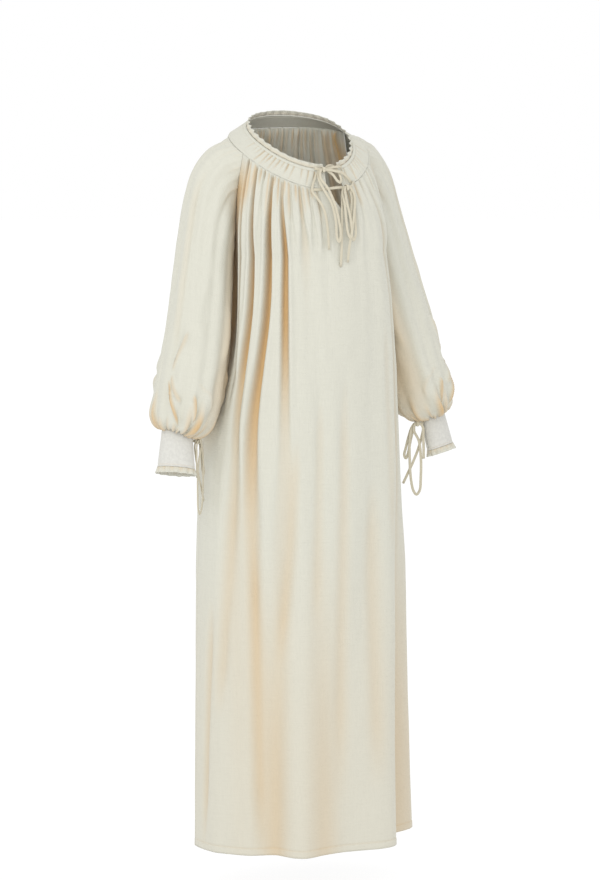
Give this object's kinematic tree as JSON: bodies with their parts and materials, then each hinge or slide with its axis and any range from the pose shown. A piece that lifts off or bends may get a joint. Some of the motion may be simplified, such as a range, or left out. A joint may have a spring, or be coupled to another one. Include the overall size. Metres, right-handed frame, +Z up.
{
  "type": "gathered renaissance chemise dress",
  "caption": "Ankle length off-white linen chemise dress, gathered into a drawstring neck band with a slit and ties, with full sleeves and frilled cuffs.",
  "frame": {"origin": "middle of the neck opening, between the two shoulders", "axes": "+Z up along the dress, the front faces -Y, +X is the wearer's left"},
  "size_m": [0.6358, 0.3466, 1.347],
  "materials": {
    "linen": "matte plain weave linen",
    "cuff_linen": "matte, tone on tone mottled weave",
    "tape": "matte flat stitched tape"
  },
  "bodies": {
    "root": {"body_front": "linen", "body_back": "linen", "sleeve_left": "linen", "sleeve_right": "linen", "cuff_left": "cuff_linen", "cuff_right": "cuff_linen", "cuff_frill_left": "linen", "cuff_frill_right": "linen", "neck_band": "linen", "neck_frill": "linen", "tie_neck_upper_a": "tape", "tie_neck_upper_b": "tape", "tie_neck_upper_knot": "tape", "tie_neck_lower_a": "tape", "tie_neck_lower_b": "tape", "tie_neck_lower_knot": "tape", "tie_cuff_left_a": "tape", "tie_cuff_left_b": "tape", "tie_cuff_left_knot": "tape", "tie_cuff_right_a": "tape", "tie_cuff_right_b": "tape", "tie_cuff_right_knot": "tape"}
  },
  "joints": []
}
